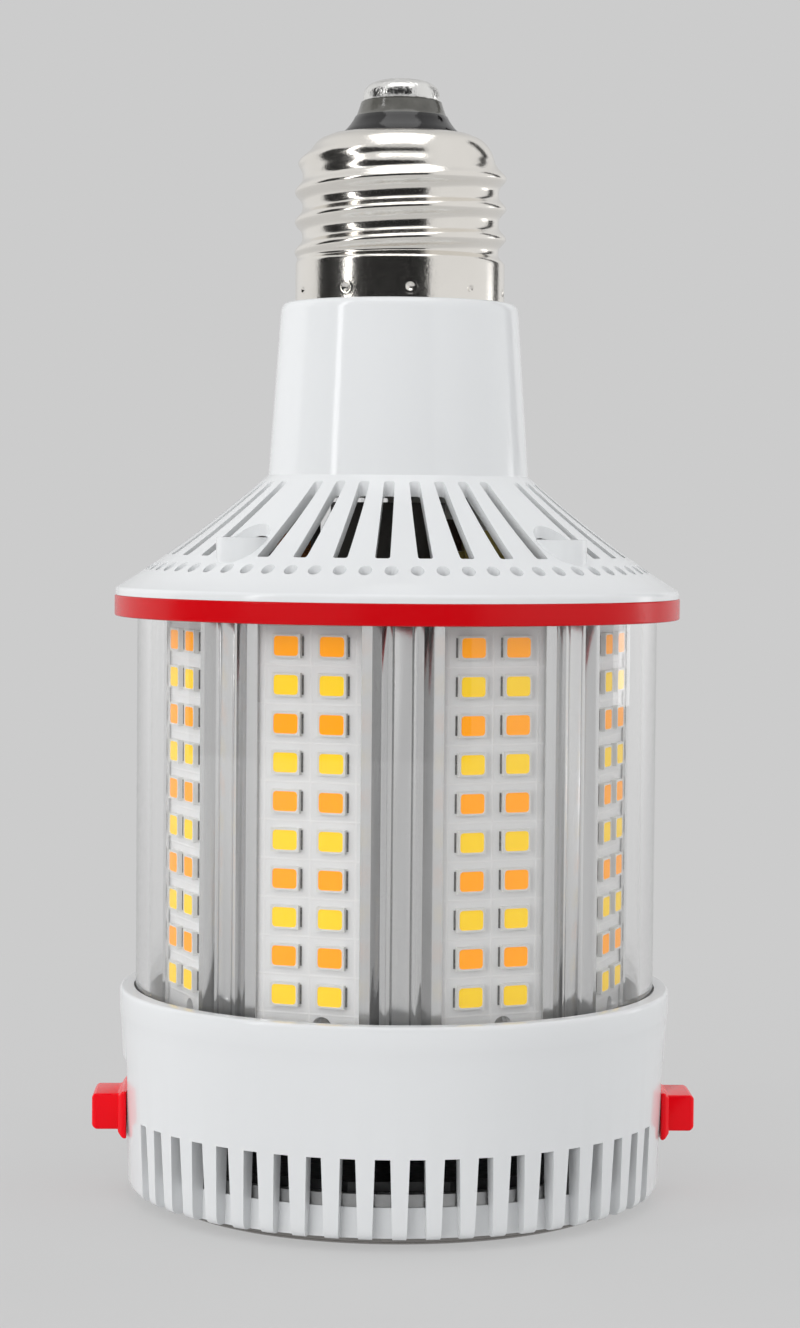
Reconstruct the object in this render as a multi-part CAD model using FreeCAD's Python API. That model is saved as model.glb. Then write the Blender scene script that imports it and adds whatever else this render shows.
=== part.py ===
import FreeCAD, Part
import math
import os

Vector = FreeCAD.Vector

# Corn lamp, standing base up on its end lens. Millimetres, Z is the lamp's axis, the front is -Y.

# Heights, stacked from the end lens up to the centre contact
LENS_DROP = 1.7  # end lens below the collar's inner ring
COLLAR_H = 24.8
COVER_SHOWN = 46.1  # clear cover between the collar and the trim ring
TRIM_H = 2.6
RIM_H = 1.1
SHOULDER_H = 13.8
NECK_H = 21.4
CAP_BARREL_H = 17.1
CAP_DOME_H = 4.3
INSULATOR_H = 3.1
CONTACT_H = 3.3

# Screw cap
CAP_CREST_D = 26.3
CAP_DOME_D = 22.8
CAP_BULGE_D = 21.4
CAP_CROWN_D = 18.6
CAP_MOUTH_D = 15.2
CAP_SHEET = 0.35
CAP_RUN_OUT = 0.6  # slope between the barrel and the dome
CAP_BULGE_H = 1.4  # crown's edge
INSULATOR_TOP_D = 10.4
INSULATOR_DEPTH = 1.9  # below the shell's mouth
CONTACT_D = 10.0
CONTACT_CROWN_D = 6.0
CONTACT_EDGE_H = 1.6
LEAD_D = 1.3

# Upper housing
NECK_TOP_D = 29.4
NECK_BASE_D = 32.4
NECK_WALL = 1.7
NECK_EDGE = 0.8
SPIGOT_H = 5.0  # stub that the screw shell is crimped on
SPIGOT_WALL = 1.5
SHOULDER_INSET = 0.5  # shoulder's edge inside the rim
SHOULDER_WALL = 1.9  # measured along the axis
VENT_SECTORS = 4
VENTS_PER_SECTOR = 8
VENT_STEP = 10.0  # degrees
VENT_W = 1.75  # at the outer end
VENT_NECK_GAP = 0.9  # from the neck's foot to the vents
VENT_RIM_GAP = 6.4  # from the rim to the vents
BOSS_D = 6.4
BOSS_H = 8.3  # above the heat sink
SCREW_D = 2.4
SCREW_HEAD_D = 4.5
SCREW_HEAD_H = 1.7
SCREW_GRIP = 8.0  # length in the heat sink
HEAD_SINK = 1.6  # screw head below the boss's top

# Clear cover and trim ring
COVER_D = 64.8
COVER_WALL = 1.7
COVER_SEAT = 6.5  # depth in the collar
TRIM_WALL = 2.6
RIM_STEP = 0.1  # trim ring proud of the housing's rim
RIM_LAND = 1.9  # flat inside the cover's end

# Heat sink
BOARDS = 8
SINK_COVER_GAP = 1.65
SINK_TOP_DROP = 1.0  # below the housing's rim
SEAT_WALL = 1.9
LIP_T = 0.45
LIP_HOOK = 0.5
LIP_BACK = 0.8
POST_FLAT_W = 1.95
POST_LINE_W = 0.3
POST_LINE_DEPTH = 0.4
POST_RIDGE_W = 0.45
POST_GROOVE_W = 0.7
POST_GROOVE_DEPTH = 1.1
POST_DROP = 0.35  # post's flat below the lips
PORT_INSET = 2.05  # screw port's axis below the post's flat
FIN_T = 1.2
FIN_LENGTH = 6.0
FIN_SPACING = 6.4

# LED boards and LEDs
BOARD_W = 13.7
BOARD_T = 1.2
BOARD_TOP_GAP = 0.5
BOARD_HOLE_D = 1.9
BOARD_HOLE_Z = 5.6  # above the board's foot
BOARD_HOLE_SHIFT = 1.65
LED_W = 3.5
LED_H = 2.8
LED_T = 0.7
LED_ROWS = 10
LED_ROW_STEP = 4.55
LED_COLUMN_STEP = 5.7
LED_FOOT = 8.95  # lowest row above the board's foot

# Lower collar
COLLAR_LIP_H = 3.9
COLLAR_LIP = 0.15
COLLAR_WALL = 1.6
COLLAR_DRAFT = 1.0  # radius lost from the lip down to the foot
COLLAR_FOOT_EDGE = 1.0
COLLAR_LOWER_WALL = 1.6
SHELF_T = 2.0
SHELF_BORE_W = 46.0  # across the flats
FOOT_SLOTS = 52
FOOT_SLOTS_LEFT_OUT = 3  # each side of a knob
FOOT_SLOT_W = 2.05
FOOT_SLOT_H = 9.3
FOOT_RING_H = 3.3
FOOT_RING_W = 4.6
TOOTH_DROP = 0.3
FLAT_DEPTH = 0.9
FLAT_H = 16.1
FLAT_CHAMFER = 1.0

# Selector knobs and their switches
KNOB_Z = 9.1  # above the collar's foot
KNOB_L = 7.5
KNOB_H = 4.5
KNOB_REACH = 4.6  # from the flat
KNOB_CHAMFER = 0.4
KNOB_GAP = 0.15
PLATE_L = 12.4
PLATE_H = 5.9
PLATE_T = 1.1
PLATE_EDGE = 0.5  # upright part of the plate's edge
PLATE_BEVEL = 0.7
STEM_L = 2.4
STEM_H = 2.2
STEM_BITE = 1.4  # stem inside the switch
STEM_GAP = 0.4
KNOB_TRAVEL = 2.0  # each way
SWITCH_L = 9.0
SWITCH_DEPTH = 4.4
SWITCH_TOP = 2.8  # above the stem's middle
SWITCH_WALL_GAP = 1.5

# End lens, end board and switch board
LENS_RIM_W = 2.2  # flange under the collar's ring
LENS_EDGE = 0.8
END_BOARD_T = 1.5
END_OUTER_LEDS = 12
END_INNER_LEDS = 6
END_OUTER_RING_D = 40.0
END_INNER_RING_D = 20.0
SWITCH_BOARD_T = 1.2
SWITCH_BOARD_INSET = 1.0

# Driver, its parts placed by shares of half the board's width
DRIVER_BOARD_INSET = 1.9  # inside the heat sink's wall
DRIVER_BOARD_T = 1.6
CAPACITOR_D = 14.0
CAPACITOR_H = 11.0
CAPACITOR_AT = (-0.07, -0.4)
TRANSFORMER_L = 8.5
TRANSFORMER_H = 7.7
TRANSFORMER_CORE_H = 2.6
TRANSFORMER_CORE_INSET = 1.2
TRANSFORMER_AT = (0.52, -0.55)
CHOKE_D = 10.0
CHOKE_H = 7.0
CHOKE_BORE_D = 4.0
CHOKE_AT = (-0.51, 0.44)
FILM_CAP_L = 12.0
FILM_CAP_W = 5.0
FILM_CAP_H = 9.0
FILM_CAP_AT = (0.14, 0.65)
BRIDGE_L = 8.0
BRIDGE_W = 6.0
BRIDGE_H = 2.6
BRIDGE_AT = (0.6, 0.23)
CABLE_D = 3.0
CABLE_Y = 5.0
JUMPER_W = 3.0
JUMPER_T = 0.3
JUMPER_LAP = 2.0  # length on the driver board

# Sides of small or hidden round outlines
SMALL_ROUND_SIDES = 8
WIDE_ROUND_SIDES = 16

# Clearances
COAXIAL_GAP = 0.2
BOARD_GAP = 0.1

# Levels worked out from the stack
ring_z = LENS_DROP
collar_top = ring_z + COLLAR_H
trim_z = collar_top + COVER_SHOWN
rim_z = trim_z + TRIM_H
shoulder_z = rim_z + RIM_H
neck_z = shoulder_z + SHOULDER_H
cap_z = neck_z + NECK_H
mouth_z = cap_z + CAP_BARREL_H + CAP_DOME_H
contact_z = mouth_z + INSULATOR_H
shelf_z = collar_top - COVER_SEAT
sink_top = rim_z - SINK_TOP_DROP
foot_ring_top = ring_z + FOOT_RING_H
end_board_top = foot_ring_top + END_BOARD_T
switch_board_top = end_board_top + SWITCH_BOARD_T
driver_top = sink_top + DRIVER_BOARD_T
boss_top = sink_top + BOSS_H

# Radii worked out from the clear cover
cover_r = COVER_D / 2
cover_inner_r = cover_r - COVER_WALL
trim_inner_r = cover_r + COAXIAL_GAP
trim_r = trim_inner_r + TRIM_WALL
rim_r = trim_r - RIM_STEP
rim_inner_r = cover_inner_r - RIM_LAND
shoulder_r = rim_r - SHOULDER_INSET
neck_r = NECK_BASE_D / 2
collar_bore_r = cover_r + COAXIAL_GAP
collar_r = collar_bore_r + COLLAR_WALL
foot_r = collar_r - COLLAR_DRAFT
lower_bore_r = foot_r - COLLAR_LOWER_WALL
flat_x = collar_r - FLAT_DEPTH - COLLAR_DRAFT * COVER_SEAT / COLLAR_H

# Octagon of the heat sink: one face per board, one post per corner
half_face = 180 / BOARDS
lip_r = cover_inner_r - SINK_COVER_GAP
channel_half = BOARD_W / 2 + BOARD_GAP
lip_n = math.sqrt(lip_r ** 2 - (channel_half + LIP_BACK) ** 2)
board_face_n = lip_n - LIP_T - BOARD_GAP
seat_n = board_face_n - BOARD_T
post_r = lip_r - POST_DROP
port_r = post_r - PORT_INSET
bore_corner_r = seat_n - SEAT_WALL
bore_flat_r = bore_corner_r * math.cos(math.radians(half_face))
fin_tip_r = bore_flat_r - FIN_LENGTH
driver_half = bore_flat_r - DRIVER_BOARD_INSET


def at(radius, z):
    """Point of a profile turned about Z."""
    return Vector(radius, 0, z)


def turned(*outline, sweep=360):
    """Solid turned about Z from its closed profile."""
    return face_of(list(outline)).revolve(Vector(0, 0, 0), Vector(0, 0, 1), sweep)


def face_of(points):
    """Flat face inside a closed outline."""
    return Part.Face(Part.makePolygon(points + points[:1]))


def block(low, high):
    """Box between two corners."""
    size = high - low
    return Part.makeBox(size.x, size.y, size.z, low)


def many_sided(centre, radius, sides, across=Vector(1, 0, 0), up=Vector(0, 1, 0)):
    """Flat face whose corners lie on a circle."""
    turns = [2 * math.pi * (side + 0.5) / sides for side in range(sides)]
    return face_of([centre + (across * math.cos(turn) + up * math.sin(turn)) * radius for turn in turns])


def bar(radius, sides, low, high, x=0.0, y=0.0):
    """Upright many-sided bar between two levels."""
    return many_sided(Vector(x, y, low), radius, sides).extrude(Vector(0, 0, high - low))


def across(width, sides):
    """Corner radius of a many-sided outline from its width across the flats."""
    return width / 2 / math.cos(math.pi / sides)


def spun(shape, angle):
    """Copy turned about the lamp's axis, in degrees from +X."""
    copy = shape.copy()
    copy.rotate(Vector(0, 0, 0), Vector(0, 0, 1), angle)
    return copy


def ring_of(shape, angles):
    """Copies of one shape at several angles about the axis."""
    return [spun(shape, angle) for angle in angles]


def group(shapes):
    """Separate solids kept together in one node."""
    return Part.makeCompound(shapes)


# Screw cap


shell_bore_r = CAP_CREST_D / 2 - CAP_SHEET
barrel_top = cap_z + CAP_BARREL_H


def screw_shell():
    crest_r = CAP_CREST_D / 2
    dome_r = CAP_DOME_D / 2
    crown_r = CAP_CROWN_D / 2
    mouth_r = CAP_MOUTH_D / 2
    return turned(
        at(crest_r, cap_z),
        at(crest_r, barrel_top - CAP_RUN_OUT),
        at(dome_r, barrel_top + CAP_RUN_OUT),
        at(CAP_BULGE_D / 2, mouth_z - CAP_BULGE_H),
        at(crown_r, mouth_z),
        at(mouth_r, mouth_z),
        at(mouth_r, mouth_z - CAP_SHEET),
        at(crown_r - CAP_SHEET, mouth_z - CAP_SHEET),
        at(shell_bore_r, barrel_top - CAP_RUN_OUT - CAP_SHEET),
        at(shell_bore_r, cap_z),
    )


def base_insulator():
    mouth_r = CAP_MOUTH_D / 2 - COAXIAL_GAP
    low = mouth_z - INSULATOR_DEPTH
    body = turned(
        at(0, low),
        at(mouth_r, low),
        at(mouth_r, mouth_z),
        at(INSULATOR_TOP_D / 2, contact_z),
        at(0, contact_z),
    )
    return body.cut(bar(LEAD_D / 2 + COAXIAL_GAP, SMALL_ROUND_SIDES, low, contact_z))


def center_contact():
    button_r = CONTACT_D / 2
    top = contact_z + CONTACT_H
    return turned(
        at(0, contact_z),
        at(button_r, contact_z),
        at(button_r, top - CONTACT_EDGE_H),
        at(CONTACT_CROWN_D / 2, top),
        at(0, top),
    )


# Upper housing

shoulder_slope = SHOULDER_H / (shoulder_r - neck_r)


def shoulder_under(radius):
    """Point on the shoulder's inner face."""
    return at(radius, neck_z - shoulder_slope * (radius - neck_r) - SHOULDER_WALL)


def sector_tool(near, far, low, high, width):
    """Cut in the middle of +X between two radii and two levels, as wide as stated at the far end."""
    sweep = math.degrees(width / far)
    sector = turned(at(near, low), at(far, low), at(far, high), at(near, high), sweep=sweep)
    return spun(sector, -sweep / 2)


def vent_angles():
    """Vents stand in sectors, with a wide rib for a screw boss between two sectors."""
    angles = []
    for sector in range(VENT_SECTORS):
        for vent in range(VENTS_PER_SECTOR):
            offset = (vent - (VENTS_PER_SECTOR - 1) / 2) * VENT_STEP
            angles.append(sector * 360 / VENT_SECTORS + offset)
    return angles


def boss_angles():
    return [(sector + 0.5) * 360 / VENT_SECTORS for sector in range(VENT_SECTORS)]


spigot_r = shell_bore_r - COAXIAL_GAP
spigot_bore_r = spigot_r - SPIGOT_WALL


def upper_housing():
    neck_top_r = NECK_TOP_D / 2
    neck_bore_r = neck_top_r - NECK_WALL
    spigot_top = cap_z + SPIGOT_H
    body = turned(
        at(rim_r, rim_z),
        at(rim_r, shoulder_z - SHOULDER_INSET),
        at(shoulder_r, shoulder_z),
        at(neck_r, neck_z),
        at(neck_top_r, cap_z - NECK_EDGE),
        at(neck_top_r - NECK_EDGE, cap_z),
        at(spigot_r, cap_z),
        at(spigot_r, spigot_top),
        at(spigot_bore_r, spigot_top),
        at(spigot_bore_r, cap_z - NECK_WALL),
        at(neck_bore_r, cap_z - NECK_WALL),
        shoulder_under(neck_bore_r),
        shoulder_under(rim_inner_r),
        at(rim_inner_r, rim_z),
    )
    pocket = bar(BOSS_D / 2, WIDE_ROUND_SIDES, boss_top, neck_z, port_r)
    boss = bar(BOSS_D / 2, WIDE_ROUND_SIDES, sink_top, boss_top, port_r)
    head_hole_r = SCREW_HEAD_D / 2 + COAXIAL_GAP
    head_hole = bar(head_hole_r, SMALL_ROUND_SIDES, boss_top - HEAD_SINK - SCREW_HEAD_H, boss_top, port_r)
    shank_hole = bar(SCREW_D / 2 + COAXIAL_GAP, SMALL_ROUND_SIDES, sink_top, boss_top, port_r)
    body = body.cut(group(ring_of(pocket, boss_angles())))
    body = body.fuse(ring_of(boss, boss_angles()))
    tools = ring_of(head_hole, boss_angles()) + ring_of(shank_hole, boss_angles())
    vent = sector_tool(neck_r + VENT_NECK_GAP, rim_r - VENT_RIM_GAP, rim_z, neck_z, VENT_W)
    tools += ring_of(vent, vent_angles())
    return body.cut(tools)


def screw(seat, direction):
    """Pan-head screw with its head's underside at the seat, along +X from the axis."""
    head_end = seat + direction * SCREW_HEAD_H
    tip = seat - direction * screw_length(direction)
    head = bar(SCREW_HEAD_D / 2, SMALL_ROUND_SIDES, min(seat, head_end), max(seat, head_end), port_r)
    shank = bar(SCREW_D / 2, SMALL_ROUND_SIDES, min(seat, tip), max(seat, tip), port_r)
    return head.fuse(shank)


def screw_length(direction):
    """Length under the head: through the boss or the shelf, then into the heat sink."""
    clamped = BOSS_H - HEAD_SINK - SCREW_HEAD_H if direction > 0 else SHELF_T
    return clamped + SCREW_GRIP


def housing_screws():
    return group(ring_of(screw(boss_top - HEAD_SINK - SCREW_HEAD_H, 1), boss_angles()))


def collar_screws():
    return group(ring_of(screw(shelf_z - SHELF_T, -1), boss_angles()))


# Clear cover and trim ring


def trim_ring():
    return turned(
        at(trim_inner_r, trim_z),
        at(trim_r, trim_z),
        at(trim_r, rim_z),
        at(trim_inner_r, rim_z),
    )


def clear_cover():
    return turned(
        at(cover_inner_r, shelf_z),
        at(cover_r, shelf_z),
        at(cover_r, rim_z),
        at(cover_inner_r, rim_z),
    )


# Heat sink


def from_face(side, tangent, normal):
    """Point given along a board's face and out from the axis, seen from the post beside it."""
    turn = math.radians(half_face)
    along = normal * math.sin(turn) - tangent * math.cos(turn)
    out = normal * math.cos(turn) + tangent * math.sin(turn)
    return Vector(out, side * along, shelf_z)


def half_post(side):
    """Outline of one half of a post along +X, from its middle out to the board's seat."""
    flat = POST_FLAT_W / 2
    line_end = flat + POST_LINE_W
    ridge_end = line_end + POST_RIDGE_W
    groove_end = ridge_end + POST_GROOVE_W
    line_floor = post_r - POST_LINE_DEPTH
    groove_floor = post_r - POST_GROOVE_DEPTH
    points = [
        Vector(post_r, side * flat, shelf_z),
        Vector(line_floor, side * (flat + line_end) / 2, shelf_z),
        Vector(post_r, side * line_end, shelf_z),
        Vector(post_r, side * ridge_end, shelf_z),
        Vector(groove_floor, side * ridge_end, shelf_z),
        Vector(groove_floor, side * groove_end, shelf_z),
        from_face(side, channel_half + LIP_BACK, lip_n),
        from_face(side, channel_half - LIP_HOOK, lip_n),
        from_face(side, channel_half - LIP_HOOK, board_face_n + BOARD_GAP),
        from_face(side, channel_half, board_face_n + BOARD_GAP),
        from_face(side, channel_half, seat_n),
    ]
    return points


def bore_sector():
    """Inner outline of one sector along +X, with its two cooling fins."""
    points = []
    for side in (-1, 1):
        middle = side * FIN_SPACING / 2
        for edge in (middle - FIN_T / 2, middle + FIN_T / 2):
            root = Vector(bore_flat_r, edge, shelf_z)
            tip = Vector(fin_tip_r, edge, shelf_z)
            points += [root, tip] if edge < middle else [tip, root]
    points.append(Vector(bore_flat_r, bore_corner_r * math.sin(math.radians(half_face)), shelf_z))
    return points


def turned_points(points, angle):
    turn = FreeCAD.Rotation(Vector(0, 0, 1), angle)
    return [turn.multVec(point) for point in points]


def heat_sink():
    outer = []
    inner = []
    for sector in range(BOARDS):
        angle = sector * 2 * half_face
        whole_post = half_post(-1)[::-1] + half_post(1)
        outer += turned_points(whole_post, angle)
        inner += turned_points(bore_sector(), angle)
    length = Vector(0, 0, sink_top - shelf_z)
    body = face_of(outer).extrude(length)
    core = face_of(inner).extrude(length)
    port = bar(SCREW_D / 2 + BOARD_GAP / 2, SMALL_ROUND_SIDES, shelf_z, sink_top, port_r)
    return body.cut([core] + ring_of(port, boss_angles()))


# LED boards, numbered round the axis


def board_angle(number):
    return (number + 0.5) * 2 * half_face


def led_board(number):
    half = BOARD_W / 2
    low = Vector(seat_n, -half, shelf_z)
    high = Vector(board_face_n, half, sink_top - BOARD_TOP_GAP)
    centre = Vector(seat_n, BOARD_HOLE_SHIFT, shelf_z + BOARD_HOLE_Z)
    outline = many_sided(centre, BOARD_HOLE_D / 2, SMALL_ROUND_SIDES, Vector(0, 1, 0), Vector(0, 0, 1))
    hole = outline.extrude(Vector(BOARD_T, 0, 0))
    return spun(block(low, high).cut(hole), board_angle(number))


def board_leds(number, first_row):
    """Every second row of a board, two LEDs a row, counted from the top."""
    leds = []
    top_row = shelf_z + LED_FOOT + (LED_ROWS - 1) * LED_ROW_STEP
    for row in range(first_row, LED_ROWS, 2):
        z = top_row - row * LED_ROW_STEP
        for side in (-1, 1):
            y = side * LED_COLUMN_STEP / 2
            low = Vector(board_face_n, y - LED_W / 2, z - LED_H / 2)
            high = Vector(board_face_n + LED_T, y + LED_W / 2, z + LED_H / 2)
            leds.append(spun(block(low, high), board_angle(number)))
    return group(leds)


def board_jumpers():
    """Flat strips from the driver board to the top edge of each LED board."""
    half = JUMPER_W / 2
    start = driver_half - JUMPER_LAP
    leg = (seat_n + board_face_n) / 2
    strip = block(Vector(start, -half, driver_top), Vector(leg, half, driver_top + JUMPER_T))
    foot_low = Vector(leg, -half, sink_top - BOARD_TOP_GAP)
    foot = block(foot_low, Vector(leg + JUMPER_T, half, driver_top + JUMPER_T))
    jumper = strip.fuse(foot).removeSplitter()
    return group(ring_of(jumper, [board_angle(number) for number in range(BOARDS)]))


# Lower collar

knob_z = ring_z + KNOB_Z


def foot_slot_angles():
    """Slots lie half a step each side of the front, and leave a plain wall at each knob."""
    step = 360 / FOOT_SLOTS
    angles = []
    for slot in range(FOOT_SLOTS):
        angle = (slot + 0.5) * step
        from_knob = min(angle % 180, 180 - angle % 180)
        if from_knob > FOOT_SLOTS_LEFT_OUT * step:
            angles.append(angle)
    return angles


def flat_tool():
    """Cut that leaves the knob's flat, with a chamfered top edge, on the +X side."""
    far = collar_r + FLAT_DEPTH + COLLAR_LIP
    top = ring_z + FLAT_H
    slope = FLAT_CHAMFER / FLAT_DEPTH
    outline = [
        Vector(flat_x, -collar_r, ring_z - TOOTH_DROP),
        Vector(far, -collar_r, ring_z - TOOTH_DROP),
        Vector(far, -collar_r, top + slope * (far - flat_x)),
        Vector(flat_x, -collar_r, top),
    ]
    return face_of(outline).extrude(Vector(0, 2 * collar_r, 0))


def stem_opening():
    """Hole in the flat for the knob's stem and its travel, on the +X side."""
    half_l = STEM_L / 2 + KNOB_TRAVEL + STEM_GAP
    half_h = STEM_H / 2 + STEM_GAP
    low = Vector(lower_bore_r - COLLAR_LOWER_WALL, -half_l, knob_z - half_h)
    return block(low, Vector(collar_r, half_l, knob_z + half_h))


def lower_collar():
    lip_z = collar_top - COLLAR_LIP_H
    foot = ring_z - TOOTH_DROP
    body = turned(
        at(lower_bore_r, foot),
        at(foot_r - COLLAR_FOOT_EDGE, foot),
        at(foot_r, foot + COLLAR_FOOT_EDGE),
        at(collar_r, lip_z),
        at(collar_r + COLLAR_LIP, lip_z + COLLAR_LIP),
        at(collar_r + COLLAR_LIP, collar_top),
        at(collar_bore_r, collar_top),
        at(collar_bore_r, shelf_z),
        at(0, shelf_z),
        at(0, shelf_z - SHELF_T),
        at(lower_bore_r, shelf_z - SHELF_T),
        at(lower_bore_r, foot_ring_top),
        at(0, foot_ring_top),
        at(0, ring_z),
        at(lower_bore_r, ring_z),
    )
    shelf_bore = bar(across(SHELF_BORE_W, WIDE_ROUND_SIDES), WIDE_ROUND_SIDES, shelf_z - SHELF_T, shelf_z)
    ring_bore = bar(lower_bore_r - FOOT_RING_W, FOOT_SLOTS // 2, ring_z, foot_ring_top)
    tools = [shelf_bore, ring_bore]
    slot = sector_tool(lower_bore_r, collar_r, foot, ring_z + FOOT_SLOT_H, FOOT_SLOT_W)
    tools += ring_of(slot, foot_slot_angles())
    tools += ring_of(flat_tool(), (0, 180))
    tools += ring_of(stem_opening(), (0, 180))
    shank_hole = bar(SCREW_D / 2 + COAXIAL_GAP, SMALL_ROUND_SIDES, shelf_z - SHELF_T, shelf_z, port_r)
    tools += ring_of(shank_hole, boss_angles())
    return body.cut(tools)


# Selector knobs and switches, first on the +X side


def selector_knob():
    back = flat_x + KNOB_GAP
    outer = flat_x + KNOB_REACH
    half_l = KNOB_L / 2
    half_h = KNOB_H / 2
    grip = block(Vector(back, -half_l, knob_z - half_h), Vector(outer, half_l, knob_z + half_h))
    outer_edges = [edge for edge in grip.Edges if min(v.X for v in edge.Vertexes) > outer - KNOB_GAP]
    grip = grip.makeChamfer(KNOB_CHAMFER, outer_edges)
    edge_end = plate_outline(back + PLATE_EDGE, 0)
    face_end = plate_outline(back + PLATE_T, PLATE_BEVEL)
    plate = Part.makeLoft([plate_outline(back, 0), edge_end, face_end], True, True)
    stem_end = switch_x() - STEM_BITE
    stem_low = Vector(stem_end, -STEM_L / 2, knob_z - STEM_H / 2)
    stem = block(stem_low, Vector(back, STEM_L / 2, knob_z + STEM_H / 2))
    return grip.fuse([plate, stem]).removeSplitter()


def plate_outline(x, inset):
    half_l = PLATE_L / 2 - inset
    half_h = PLATE_H / 2 - inset
    corners = [(-half_l, -half_h), (half_l, -half_h), (half_l, half_h), (-half_l, half_h)]
    points = [Vector(x, y, knob_z + z) for y, z in corners]
    return Part.makePolygon(points + points[:1])


def switch_x():
    """Front face of a switch, behind the collar's wall."""
    return lower_bore_r - SWITCH_WALL_GAP


def slide_switch():
    half_l = SWITCH_L / 2
    front = switch_x()
    low = Vector(front - SWITCH_DEPTH, -half_l, switch_board_top)
    case = block(low, Vector(front, half_l, knob_z + SWITCH_TOP))
    slot_half_l = STEM_L / 2 + KNOB_TRAVEL + STEM_GAP
    slot_half_h = STEM_H / 2 + STEM_GAP
    slot_low = Vector(front - STEM_BITE - STEM_GAP, -slot_half_l, knob_z - slot_half_h)
    return case.cut(block(slot_low, Vector(front, slot_half_l, knob_z + slot_half_h)))


# End of the lamp


def end_lens():
    rim = lower_bore_r - FOOT_RING_W + LENS_RIM_W
    return turned(
        at(0, 0),
        at(rim - LENS_EDGE, 0),
        at(rim, LENS_EDGE),
        at(rim, ring_z),
        at(0, ring_z),
    )


def end_board():
    return bar(lower_bore_r - COAXIAL_GAP, FOOT_SLOTS, foot_ring_top, end_board_top)


def end_leds(first):
    """Every second LED of the two rings under the end board."""
    leds = []
    for count, ring_d in ((END_OUTER_LEDS, END_OUTER_RING_D), (END_INNER_LEDS, END_INNER_RING_D)):
        low = Vector(ring_d / 2 - LED_H / 2, -LED_W / 2, foot_ring_top - LED_T)
        led = block(low, Vector(ring_d / 2 + LED_H / 2, LED_W / 2, foot_ring_top))
        leds += ring_of(led, [place * 360 / count for place in range(first, count, 2)])
    return group(leds)


def switch_board():
    return bar(lower_bore_r - SWITCH_BOARD_INSET, WIDE_ROUND_SIDES, end_board_top, switch_board_top)


# Driver


def driver_place(share):
    """Point on the driver board's top face."""
    return Vector(share[0] * driver_half, share[1] * driver_half, driver_top)


def on_driver(length, width, height, share):
    """Box that stands on the driver board."""
    low = driver_place(share) - Vector(length / 2, width / 2, 0)
    return block(low, low + Vector(length, width, height))


def can_on_driver(radius, height, sides, share):
    """Upright many-sided can that stands on the driver board."""
    return many_sided(driver_place(share), radius, sides).extrude(Vector(0, 0, height))


def driver_board():
    return bar(across(2 * driver_half, BOARDS), BOARDS, sink_top, driver_top)


def bulk_capacitor():
    return Part.makeCylinder(CAPACITOR_D / 2, CAPACITOR_H, driver_place(CAPACITOR_AT))


def transformer():
    """Taped winding with a ferrite core round its middle."""
    inset = 2 * TRANSFORMER_CORE_INSET
    winding_l = TRANSFORMER_L - inset
    winding = on_driver(winding_l, TRANSFORMER_L, TRANSFORMER_H, TRANSFORMER_AT)
    core = on_driver(TRANSFORMER_L, winding_l, TRANSFORMER_CORE_H, TRANSFORMER_AT)
    core.translate(Vector(0, 0, (TRANSFORMER_H - TRANSFORMER_CORE_H) / 2))
    return winding.fuse(core).removeSplitter()


def filter_choke():
    coil = can_on_driver(CHOKE_D / 2, CHOKE_H, SMALL_ROUND_SIDES, CHOKE_AT)
    return coil.cut(can_on_driver(CHOKE_BORE_D / 2, CHOKE_H, SMALL_ROUND_SIDES, CHOKE_AT))


def film_capacitor():
    return on_driver(FILM_CAP_L, FILM_CAP_W, FILM_CAP_H, FILM_CAP_AT)


def bridge_rectifier():
    return on_driver(BRIDGE_L, BRIDGE_W, BRIDGE_H, BRIDGE_AT)


def live_lead():
    return bar(LEAD_D / 2, SMALL_ROUND_SIDES, driver_top, contact_z)


def neutral_lead():
    place = spigot_bore_r - COAXIAL_GAP - LEAD_D / 2
    return bar(LEAD_D / 2, SMALL_ROUND_SIDES, driver_top, barrel_top, -place)


def switch_cable():
    return bar(CABLE_D / 2, SMALL_ROUND_SIDES, switch_board_top, sink_top, 0, CABLE_Y)


NODES = {
    "center_contact": center_contact(),
    "base_insulator": base_insulator(),
    "screw_shell": screw_shell(),
    "upper_housing": upper_housing(),
    "trim_ring": trim_ring(),
    "clear_cover": clear_cover(),
    "heat_sink": heat_sink(),
    "lower_collar": lower_collar(),
    "power_knob": selector_knob(),
    "color_knob": spun(selector_knob(), 180),
    "power_switch": slide_switch(),
    "color_switch": spun(slide_switch(), 180),
    "switch_board": switch_board(),
    "end_board": end_board(),
    "end_warm_leds": end_leds(0),
    "end_cool_leds": end_leds(1),
    "end_lens": end_lens(),
    "driver_board": driver_board(),
    "bulk_capacitor": bulk_capacitor(),
    "transformer": transformer(),
    "filter_choke": filter_choke(),
    "film_capacitor": film_capacitor(),
    "bridge_rectifier": bridge_rectifier(),
    "live_lead": live_lead(),
    "neutral_lead": neutral_lead(),
    "switch_cable": switch_cable(),
    "board_jumpers": board_jumpers(),
    "housing_screws": housing_screws(),
    "collar_screws": collar_screws(),
}
for board in range(BOARDS):
    NODES[f"led_board_{board + 1}"] = led_board(board)
    NODES[f"warm_leds_{board + 1}"] = board_leds(board, 0)
    NODES[f"cool_leds_{board + 1}"] = board_leds(board, 1)

os.makedirs("parts", exist_ok=True)
for node, shape in NODES.items():
    shape.exportStep(f"parts/{node}.step")
    print(node, len(shape.Solids), round(shape.Volume, 2), shape.isValid())
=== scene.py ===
import math

import bpy
from mathutils import Matrix, Vector


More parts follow.
